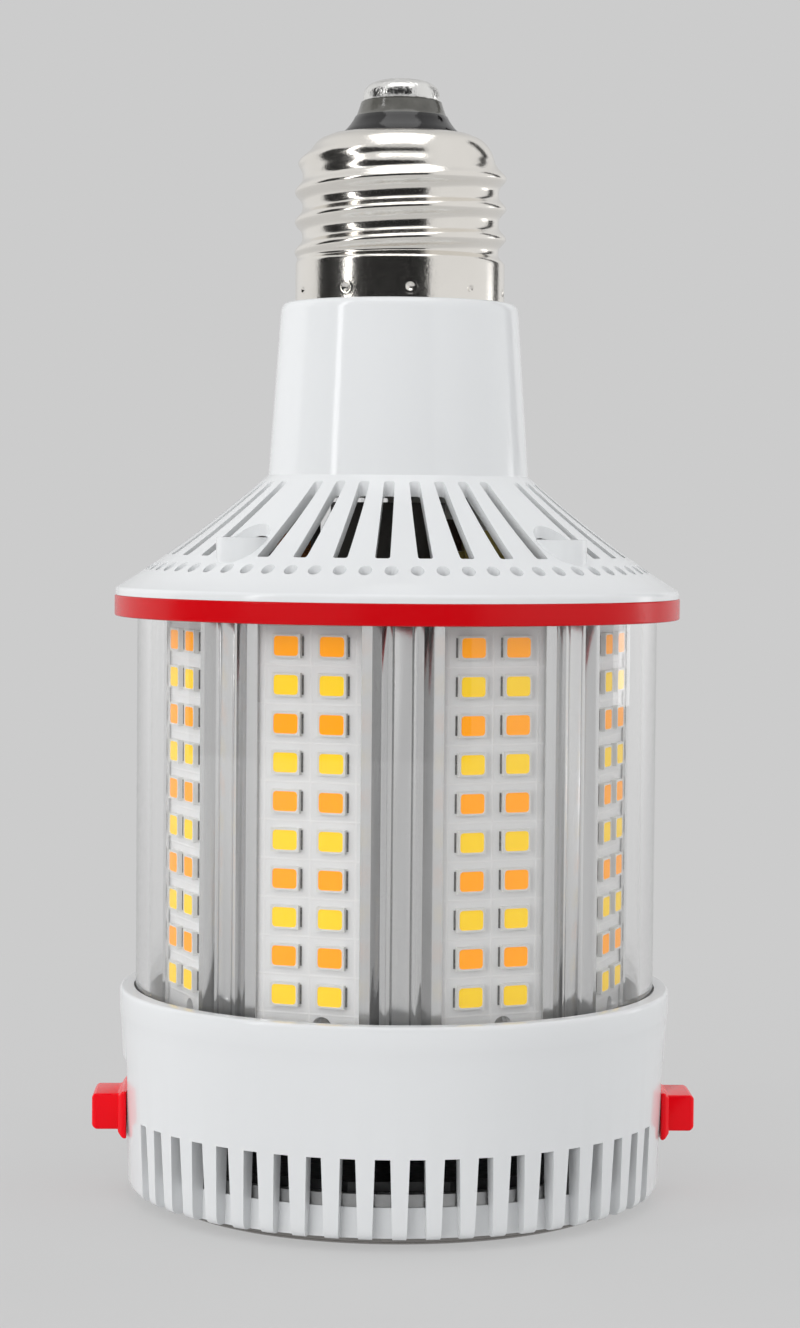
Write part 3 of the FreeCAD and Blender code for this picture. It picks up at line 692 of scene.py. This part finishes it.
lens = turned_piece("lens", [
    (POLE, LENS_FOOT),
    *rounded((LENS_R - LENS_CORNER, LENS_FOOT), (LENS_R, LENS_FOOT), (LENS_R, LENS_FOOT + LENS_CORNER)),
    (LENS_R, LENS_TOP),
    (POLE, LENS_TOP),
])
smoothed(lens, angle=35)
coat(lens, smoked_plastic)
seat(lens, "end_lens")


# Upper housing: one white moulding with the neck for the screw cap and a shoulder full of vents.
# Four half-round bosses take the screws into the heat sink.
# A ring of small blind holes runs round the shoulder's edge.

RIM_R, BOSS_FOOT, SPIGOT_TOP = outside("upper_housing")
RIM_FOOT = outside("trim_ring")[2]
NECK_TOP = outside("screw_shell")[1]
SHOULDER_EDGE = (RIM_R - 0.5, RIM_FOOT + 1.1)
NECK_FOOT = (16.2, RIM_FOOT + 14.9)
SHOULDER_HOLLOW = (0.54, 0.72)
SHOULDER_PULL = [(edge + foot) / 2 - hollow
                 for edge, foot, hollow in zip(SHOULDER_EDGE, NECK_FOOT, SHOULDER_HOLLOW)]
NECK_R = 14.78
NECK_BORE = 13.0
NECK_WALL = 1.7
NECK_CORNER_W = 1.0
NECK_CORNER_H = 1.2
NECK_DRAFT = 0.08
NECK_INSIDE_FOOT = NECK_FOOT[1] + 0.5
SPIGOT_R = 12.6
SPIGOT_BORE = 11.1
RIM_BORE = 28.8
RIM_BAND_TOP = RIM_FOOT + 0.5
RIM_BEND = RIM_FOOT + 1.0
RIM_INSIDE_TOP = RIM_FOOT + 3.4
QUARTERS = (0, 90, 180, 270)
VENTS_A_QUARTER = 8
VENT_STEP = 10
VENT_NECK = 17.1
VENT_RIM = 28.7
VENT_HALF_W = 0.65
VENT_SPREAD = 1.35
VENT_CORNER = 0.3
PINHOLES = 64
PINHOLE_R = 0.8
PINHOLE_AT = 30.7
PINHOLE_FLOOR = RIM_FOOT + 1.7
BOSS_R = 3.2
BOSS_AT = 26.65
BOSS_TOP = BOSS_FOOT + 8.3
HEAD_HOLE_R = 2.45
HEAD_HOLE_FLOOR = BOSS_TOP - 3.3
SHANK_HOLE_R = 1.4
ABOVE = NECK_FOOT[1] + 5
BELOW = BOSS_FOOT - 4


def vent():
    """Tool for one vent along +X: upright walls, rounded corners, wider at the rim than the neck."""
    tool = block_in_mm("vent", (VENT_NECK, -VENT_HALF_W, BOSS_FOOT), (VENT_RIM, VENT_HALF_W, ABOVE))
    for point in tool.data.vertices:
        if point.co.x > (VENT_NECK + VENT_RIM) / 2 * MM:
            point.co.y *= VENT_SPREAD
    bpy.ops.object.mode_set(mode="EDIT")
    bpy.ops.mesh.select_mode(type="EDGE")
    bpy.ops.mesh.select_all(action="DESELECT")
    bpy.ops.object.mode_set(mode="OBJECT")
    points = tool.data.vertices
    for edge in tool.data.edges:
        low, high = [points[index].co.z for index in edge.vertices]
        edge.select = abs(high - low) > MM
    bpy.ops.object.mode_set(mode="EDIT")
    bpy.ops.mesh.bevel(offset=VENT_CORNER * MM, segments=3, affect="EDGES")
    bpy.ops.object.mode_set(mode="OBJECT")
    return tool


def upright_bar(name, radius, low, high, at_radius, sides=32):
    """Round tool along the lamp's axis, off to +X, in millimetres."""
    bpy.ops.object.select_all(action="DESELECT")
    bpy.ops.mesh.primitive_cylinder_add(vertices=sides, radius=radius * MM, depth=(high - low) * MM,
                                        location=(at_radius * MM, 0, (low + high) / 2 * MM))
    piece = bpy.context.object
    piece.name = name
    bpy.ops.object.transform_apply(location=True, rotation=True, scale=True)
    return piece


housing = turned_piece("housing", [
    (RIM_R, RIM_FOOT),
    *rounded((RIM_R, RIM_BAND_TOP), (RIM_R, RIM_BEND), SHOULDER_EDGE),
    *rounded(SHOULDER_EDGE, SHOULDER_PULL, NECK_FOOT, steps=8)[1:],
    *rounded((NECK_R, NECK_TOP - NECK_CORNER_H), (NECK_R - NECK_DRAFT, NECK_TOP),
             (NECK_R - NECK_CORNER_W, NECK_TOP)),
    (SPIGOT_R, NECK_TOP), (SPIGOT_R, SPIGOT_TOP),
    (SPIGOT_BORE, SPIGOT_TOP), (SPIGOT_BORE, NECK_TOP - NECK_WALL),
    (NECK_BORE, NECK_TOP - NECK_WALL), (NECK_BORE, NECK_INSIDE_FOOT),
    (RIM_BORE, RIM_INSIDE_TOP), (RIM_BORE, RIM_FOOT),
    (RIM_R, RIM_FOOT),
], sides=256)
boss_angles = [quarter + 45 for quarter in QUARTERS]
first_vent = -VENT_STEP * (VENTS_A_QUARTER - 1) / 2
vent_angles = [quarter + first_vent + number * VENT_STEP
               for quarter in QUARTERS for number in range(VENTS_A_QUARTER)]
pinhole_angles = [(number + 0.5) * 360 / PINHOLES for number in range(PINHOLES)]
for tool, angles, operation in (
    (vent(), vent_angles, "DIFFERENCE"),
    (upright_bar("pinhole", PINHOLE_R, PINHOLE_FLOOR, ABOVE, PINHOLE_AT, sides=20),
     pinhole_angles, "DIFFERENCE"),
    (upright_bar("pocket", BOSS_R, BOSS_TOP, ABOVE, BOSS_AT), boss_angles, "DIFFERENCE"),
    (upright_bar("boss", BOSS_R, BOSS_FOOT, BOSS_TOP, BOSS_AT), boss_angles, "UNION"),
    (upright_bar("head_hole", HEAD_HOLE_R, HEAD_HOLE_FLOOR, ABOVE, BOSS_AT), boss_angles, "DIFFERENCE"),
    (upright_bar("shank_hole", SHANK_HOLE_R, BELOW, ABOVE, BOSS_AT), boss_angles, "DIFFERENCE"),
):
    cut_away(housing, ring_of_tools(tool, angles), operation)
eased(housing, width=0.1, angle=35)
coat(housing, white_moulding)
seat(housing, "upper_housing")


# Trim ring: a red moulded band under the housing's rim, round the end of the clear cover.
# It is pressed on from below and covers the joint between the cover and the housing.

RING_R, TRIM_FOOT, TRIM_TOP = outside("trim_ring")
TRIM_BORE = COVER_R + COVER_GAP
ring_red = new_finish("ring_red", (0.63, 0.0, 0.004), (0.57, 0.0, 0.003), patch=60, grain=1500,
                      gloss=(0.18, 0.26), relief=0.004, Specular_IOR_Level=0.2)
ring = turned_piece("ring", [
    (TRIM_BORE, TRIM_FOOT), (RING_R, TRIM_FOOT), (RING_R, TRIM_TOP), (TRIM_BORE, TRIM_TOP),
    (TRIM_BORE, TRIM_FOOT),
], sides=192)
eased(ring, width=0.22, segments=3)
coat(ring, ring_red)
seat(ring, "trim_ring")


# Screw shell: thin nickel-plated sheet with a rolled right-hand thread.
# Punched dimples crimp its skirt to the neck, and its dome narrows to a mouth that holds the glass.

CREST_R, SHELL_FOOT, SHELL_TOP = outside("screw_shell")
MOUTH_Z = SHELL_TOP - 0.6
MOUTH_R = 7.6
SKIRT_R = CREST_R - 0.15
ROOT_R = CREST_R - 0.95
SHEET = 0.4
PITCH = 3.72
SKIRT_TOP = SHELL_FOOT + 4.8
THREAD_FOOT = SHELL_FOOT + 6.0
FIRST_CREST = SHELL_FOOT + 6.25
CREST_SHARPNESS = 1.7
DOME_Z = MOUTH_Z - 4.1
DOME_H = MOUTH_Z - DOME_Z + 0.1
DOME_R = 11.75
DOME_BLEND = (DOME_Z - 0.6, DOME_Z + 1.0)
THREAD_RUN_IN = (SHELL_FOOT + 4.5, SHELL_FOOT + 6.1)
THREAD_RUN_OUT = (DOME_Z + 0.2, DOME_Z + 1.6)
CROWN_R = 8.0
CROWN_Z = MOUTH_Z - 0.5
ROLL_START = (MOUTH_R + 1.8, MOUTH_Z - 0.3)
ROLL_BEND = (MOUTH_R + 1.3, MOUTH_Z)
ROLL_END = (MOUTH_R + 0.8, MOUTH_Z)
INSIDE_MOUTH = (MOUTH_R + 1.4, MOUTH_Z - 1.5 * SHEET)
INSIDE_DOME = (MOUTH_R + 2.9, DOME_Z + 2.2)
INSIDE_THREAD = (DOME_R - SHEET, DOME_Z - 0.4)
DIMPLES = 10
DIMPLE_Z = SHELL_FOOT + 1.25
DIMPLE_START = math.radians(-86)
DIMPLE_DEPTH = 0.3
DIMPLE_R = 0.34
BURR_H = 0.05
BURR_AT = 0.62
BURR_W = 0.18
LEVEL_STEP = 0.15
TOLERANCE = 0.01
nickel = new_finish("nickel", (0.93, 0.90, 0.85), (0.82, 0.79, 0.74), patch=120, grain=3500,
                    gloss=(0.12, 0.22), relief=0.008, Metallic=1.0)


def ease(value, low, high):
    """Nought below low and one above high, with a soft start and end."""
    share = min(max((value - low) / (high - low), 0), 1)
    return share * share * (3 - 2 * share)


def sheet_radius(z, angle):
    """Outside of the sheet: skirt, thread that runs out on the dome, and a ring of punched dimples."""
    up_dome = max(z - DOME_Z, 0) / DOME_H
    dome = CROWN_R + (DOME_R - CROWN_R) * math.sqrt(max(1 - up_dome ** 2, 0))
    base = SKIRT_R + (ROOT_R - SKIRT_R) * ease(z, SKIRT_TOP, THREAD_FOOT)
    base += (dome - base) * ease(z, *DOME_BLEND)
    turns = (z - FIRST_CREST) / PITCH - (angle - math.pi) / (2 * math.pi)
    crest_z = z - (turns - round(turns)) * PITCH
    crest = (0.5 + 0.5 * math.cos(2 * math.pi * turns)) ** CREST_SHARPNESS
    crest *= ease(crest_z, *THREAD_RUN_IN) * (1 - ease(crest_z, *THREAD_RUN_OUT))
    dimple_step = 2 * math.pi / DIMPLES
    along = (angle - DIMPLE_START) % dimple_step
    along = min(along, dimple_step - along) * SKIRT_R
    from_dimple = math.hypot(along, z - DIMPLE_Z)
    punched = DIMPLE_DEPTH * math.exp(-(from_dimple / DIMPLE_R) ** 2)
    punched -= BURR_H * math.exp(-((from_dimple - BURR_AT) / BURR_W) ** 2)
    return base + (CREST_R - base) * crest - punched


level_count = int((CROWN_Z - SHELL_FOOT) / LEVEL_STEP) + 1
levels = [SHELL_FOOT + LEVEL_STEP * step for step in range(level_count)]
shell = turned_piece("shell", [
    *((SKIRT_R, level) for level in levels),
    *rounded(ROLL_START, ROLL_BEND, ROLL_END, steps=2),
    (MOUTH_R, MOUTH_Z), (MOUTH_R, MOUTH_Z - SHEET),
    INSIDE_MOUTH, INSIDE_DOME, INSIDE_THREAD,
    (ROOT_R - SHEET, SHELL_FOOT), (SKIRT_R, SHELL_FOOT),
], sides=400)
for point in shell.data.vertices:
    spot = point.co / MM
    radius = math.hypot(spot.x, spot.y)
    if radius > SKIRT_R - TOLERANCE:
        share = sheet_radius(spot.z, math.atan2(spot.y, spot.x)) / radius
        point.co.x *= share
        point.co.y *= share
smoothed(shell, angle=60)
coat(shell, nickel)
seat(shell, "screw_shell")


# Base insulator: dark glass fused into the shell's mouth, with a lighter step under the contact.
# The lead to the contact runs through its middle.

GLASS_FOOT = outside("base_insulator")[1]
GLASS_TOP = outside("center_contact")[1] + 0.4
GLASS_R = 7.35
GLASS_TOP_R = 5.0
STEP_FOOT = GLASS_TOP - 1.8
SLOPE_START = (7.25, MOUTH_Z + 0.3)
SLOPE_BEND = (6.2, STEP_FOOT - 1.0)
SLOPE_END = (5.75, STEP_FOOT)
STEP_START = (5.6, STEP_FOOT + 0.1)
STEP_BEND = (5.4, STEP_FOOT + 0.5)
STEP_END = (5.1, GLASS_TOP - 0.3)
dark_glass = new_finish("dark_glass", (0.006, 0.006, 0.007), (0.015, 0.014, 0.014), patch=300, grain=500,
                        gloss=(0.05, 0.15), relief=0.06)
smoky_glass = new_finish("smoky_glass", (0.16, 0.155, 0.14), (0.05, 0.05, 0.045), patch=450, grain=700,
                         gloss=(0.05, 0.15), relief=0.06)
insulator = turned_piece("insulator", [
    (POLE, GLASS_FOOT), (GLASS_R, GLASS_FOOT), (GLASS_R, MOUTH_Z),
    *rounded(SLOPE_START, SLOPE_BEND, SLOPE_END),
    *rounded(STEP_START, STEP_BEND, STEP_END),
    (GLASS_TOP_R, GLASS_TOP), (POLE, GLASS_TOP),
], sides=96)
smoothed(insulator, angle=40)
coat(insulator, dark_glass)
insulator.data.materials.append(smoky_glass)
for face in insulator.data.polygons:
    face.material_index = int(face.center.z > STEP_FOOT * MM)
seat(insulator, "base_insulator")


# Centre contact: a brass button on the end of the lead, set on the glass.
# It is dipped in solder, which leaves a bright, slightly lumpy dome.

CONTACT_R = 4.75
CONTACT_TOP = outside("center_contact")[2]
CONTACT_CORNER_W = 0.3
CONTACT_CORNER_H = 0.6
CONTACT_DOME_FOOT = GLASS_TOP + 0.8
tinned_metal = new_finish("tinned_metal", (0.95, 0.95, 0.93), (0.78, 0.77, 0.75), patch=450, grain=700,
                          gloss=(0.16, 0.28), relief=0.3, Metallic=1.0)
contact = turned_piece("contact", [
    (POLE, GLASS_TOP),
    *rounded((CONTACT_R - CONTACT_CORNER_W, GLASS_TOP), (CONTACT_R, GLASS_TOP),
             (CONTACT_R, GLASS_TOP + CONTACT_CORNER_H)),
    *rounded((CONTACT_R, CONTACT_DOME_FOOT), (CONTACT_R, CONTACT_TOP), (POLE, CONTACT_TOP), steps=9),
], sides=96)
smoothed(contact, angle=60)
coat(contact, tinned_metal)
seat(contact, "center_contact")


# Photographer's table: a sheet of pale grey paper under the lamp, with soft lamps round and above it.
# Two black flags stand aside for the cap to mirror, and a long lens looks on at the lamp's height.

BACKGROUND = (0.604, 0.604, 0.604, 1)
AT_SIDES = (0.78, 0.78, 0.78, 1)
LIGHTER_FROM = 0.16
LIGHTER_TO = 0.6
PAPER_GREY = (0.62, 0.62, 0.62, 1)
PAPER_SIZE = 8
HORIZON_REACH = 0.45
SHADOW_FROM = 0.03
SHADOW_TO = 0.22
GLOW_AT_LAMP = 0.7
ROOM_LIGHT = (0.62, 0.63, 0.64, 1)
ROOM_STRENGTH = 0.75


def seen_directly(nodes, links):
    """One for what is seen straight, in metal or through glass, and nought for the room's light."""
    path = nodes.new("ShaderNodeLightPath")
    mirrored = nodes.new("ShaderNodeMath")
    mirrored.operation = "MAXIMUM"
    links.new(path.outputs["Is Camera Ray"], mirrored.inputs[0])
    links.new(path.outputs["Is Glossy Ray"], mirrored.inputs[1])
    seen = nodes.new("ShaderNodeMath")
    seen.operation = "MAXIMUM"
    links.new(mirrored.outputs["Value"], seen.inputs[0])
    links.new(path.outputs["Is Transmission Ray"], seen.inputs[1])
    return seen.outputs["Value"]


def lighter_aside(nodes, links, direction):
    """The paper's grey, lighter to the left and right of the middle, where the side lamps catch it."""
    split = nodes.new("ShaderNodeSeparateXYZ")
    links.new(direction, split.inputs["Vector"])
    aside = nodes.new("ShaderNodeMath")
    aside.operation = "ABSOLUTE"
    links.new(split.outputs["X"], aside.inputs[0])
    spread = nodes.new("ShaderNodeMapRange")
    spread.interpolation_type = "SMOOTHSTEP"
    spread.inputs["From Min"].default_value = LIGHTER_FROM
    spread.inputs["From Max"].default_value = LIGHTER_TO
    links.new(aside.outputs["Value"], spread.inputs["Value"])
    grey = nodes.new("ShaderNodeMix")
    grey.data_type = "RGBA"
    grey.inputs["A"].default_value = BACKGROUND
    grey.inputs["B"].default_value = AT_SIDES
    links.new(spread.outputs["Result"], grey.inputs["Factor"])
    return grey.outputs["Result"]


bpy.ops.object.select_all(action="DESELECT")
bpy.ops.mesh.primitive_plane_add(size=PAPER_SIZE)
floor = bpy.context.object
floor.name = "floor"
paper = bpy.data.materials.new("paper")
paper.use_nodes = True
nodes, links = paper.node_tree.nodes, paper.node_tree.links
paper_shader = nodes["Principled BSDF"]
paper_shader.inputs["Base Color"].default_value = PAPER_GREY
paper_shader.inputs["Roughness"].default_value = 0.9
glow = nodes.new("ShaderNodeEmission")
where = nodes.new("ShaderNodeTexCoord")
reach = nodes.new("ShaderNodeVectorMath")
reach.operation = "LENGTH"
links.new(where.outputs["Object"], reach.inputs[0])
away = nodes.new("ShaderNodeMath")
away.inputs[1].default_value = HORIZON_REACH
links.new(reach.outputs["Value"], away.inputs[0])
direction = nodes.new("ShaderNodeVectorMath")
direction.operation = "DIVIDE"
links.new(where.outputs["Object"], direction.inputs[0])
links.new(away.outputs["Value"], direction.inputs[1])
links.new(lighter_aside(nodes, links, direction.outputs["Vector"]), glow.inputs["Color"])
even = nodes.new("ShaderNodeMapRange")
even.inputs["From Min"].default_value = SHADOW_FROM
even.inputs["From Max"].default_value = SHADOW_TO
even.inputs["To Min"].default_value = GLOW_AT_LAMP
links.new(reach.outputs["Value"], even.inputs["Value"])
share = nodes.new("ShaderNodeMath")
share.operation = "MULTIPLY"
links.new(seen_directly(nodes, links), share.inputs[0])
links.new(even.outputs["Result"], share.inputs[1])
blend_shaders(paper.node_tree, share.outputs["Value"], paper_shader.outputs["BSDF"],
              glow.outputs["Emission"], "Material Output")
floor.data.materials.append(paper)

world = bpy.data.worlds.new("studio")
world.use_nodes = True
bpy.context.scene.world = world
nodes, links = world.node_tree.nodes, world.node_tree.links
room = nodes["Background"]
room.inputs["Color"].default_value = ROOM_LIGHT
room.inputs["Strength"].default_value = ROOM_STRENGTH
backdrop = nodes.new("ShaderNodeBackground")
where = nodes.new("ShaderNodeTexCoord")
links.new(lighter_aside(nodes, links, where.outputs["Generated"]), backdrop.inputs["Color"])
blend_shaders(world.node_tree, seen_directly(nodes, links), room.outputs["Background"],
              backdrop.outputs["Background"], "World Output")


def soft_lamp(name, azimuth, distance, height, width, tall, power, aim_height=0.075, mirrored=True):
    """Rectangular lamp aimed at the object's axis; azimuth counts from the front to the right."""
    light = bpy.data.lights.new(name, "AREA")
    light.shape = "RECTANGLE"
    light.size = width
    light.size_y = tall
    light.energy = power
    lamp = bpy.data.objects.new(name, light)
    turn = math.radians(azimuth)
    lamp.location = (distance * math.sin(turn), -distance * math.cos(turn), height)
    aim = Vector((0, 0, aim_height)) - lamp.location
    lamp.rotation_euler = aim.to_track_quat("-Z", "Y").to_euler()
    lamp.visible_camera = False
    lamp.visible_glossy = mirrored
    lamp.visible_transmission = mirrored
    bpy.context.scene.collection.objects.link(lamp)


soft_lamp("left_strip", azimuth=-60, distance=0.65, height=0.45, width=0.06, tall=0.70, power=0.7,
          aim_height=0.45)
soft_lamp("front_left", azimuth=-35, distance=1.2, height=0.22, width=0.8, tall=0.6, power=5.2,
          mirrored=False)
soft_lamp("front_right", azimuth=60, distance=1.2, height=0.25, width=0.8, tall=0.8, power=3.4,
          mirrored=False)
soft_lamp("right_back", azimuth=115, distance=0.8, height=0.09, width=0.14, tall=0.15, power=0.1,
          aim_height=0.09)
for name, azimuth in (("back_left", -118), ("back_right", 118)):
    soft_lamp(name, azimuth, distance=0.9, height=0.30, width=0.5, tall=0.5, power=2.4, mirrored=False)
soft_lamp("top", azimuth=0, distance=0.25, height=1.2, width=0.9, tall=0.9, power=3.4)

FLAG_R = 0.75
black_cloth = bpy.data.materials.new("black_cloth")
black_cloth.use_nodes = True
cloth_shader = black_cloth.node_tree.nodes["Principled BSDF"]
cloth_shader.inputs["Base Color"].default_value = (0.01, 0.01, 0.01, 1)
cloth_shader.inputs["Roughness"].default_value = 1.0


def azimuth_of(face):
    """Where a face stands round the lamp, in degrees from the front to the right."""
    return math.degrees(math.atan2(face.center.x, -face.center.y))


def black_flag(name, start, end, foot, top):
    """Curved cloth between two azimuths round the lamp, seen only in what mirrors it."""
    bpy.ops.object.select_all(action="DESELECT")
    bpy.ops.mesh.primitive_cylinder_add(vertices=180, radius=FLAG_R, depth=top - foot,
                                        end_fill_type="NOTHING", location=(0, 0, (foot + top) / 2))
    flag = bpy.context.object
    flag.name = name
    select_faces(flag, lambda face: not start < azimuth_of(face) < end)
    bpy.ops.mesh.delete(type="FACE")
    bpy.ops.object.mode_set(mode="OBJECT")
    flag.visible_camera = False
    flag.visible_diffuse = False
    flag.visible_shadow = False
    flag.visible_transmission = False
    coat(flag, black_cloth)


black_flag("front_flag", start=-103, end=31, foot=-0.05, top=0.75)
black_flag("side_flag", start=122, end=136, foot=0.14, top=0.75)

ORBIT = math.radians(-1.5)
DISTANCE = 0.3884
HEIGHT = 0.0852
PAN = math.radians(0.06)
TILT = math.radians(90 - 2.733)
ROLL = math.radians(0.49)
camera_data = bpy.data.cameras.new("long_lens")
camera_data.sensor_fit = "VERTICAL"
camera_data.sensor_height = 36
camera_data.lens = 84.2
camera = bpy.data.objects.new("long_lens", camera_data)
camera.matrix_world = (
    Matrix.Translation((DISTANCE * math.sin(ORBIT), -DISTANCE * math.cos(ORBIT), HEIGHT))
    @ Matrix.Rotation(ORBIT - PAN, 4, "Z")
    @ Matrix.Rotation(TILT, 4, "X")
    @ Matrix.Rotation(ROLL, 4, "Z")
)
bpy.context.scene.collection.objects.link(camera)
bpy.context.scene.camera = camera
bpy.context.scene.view_settings.view_transform = "Standard"
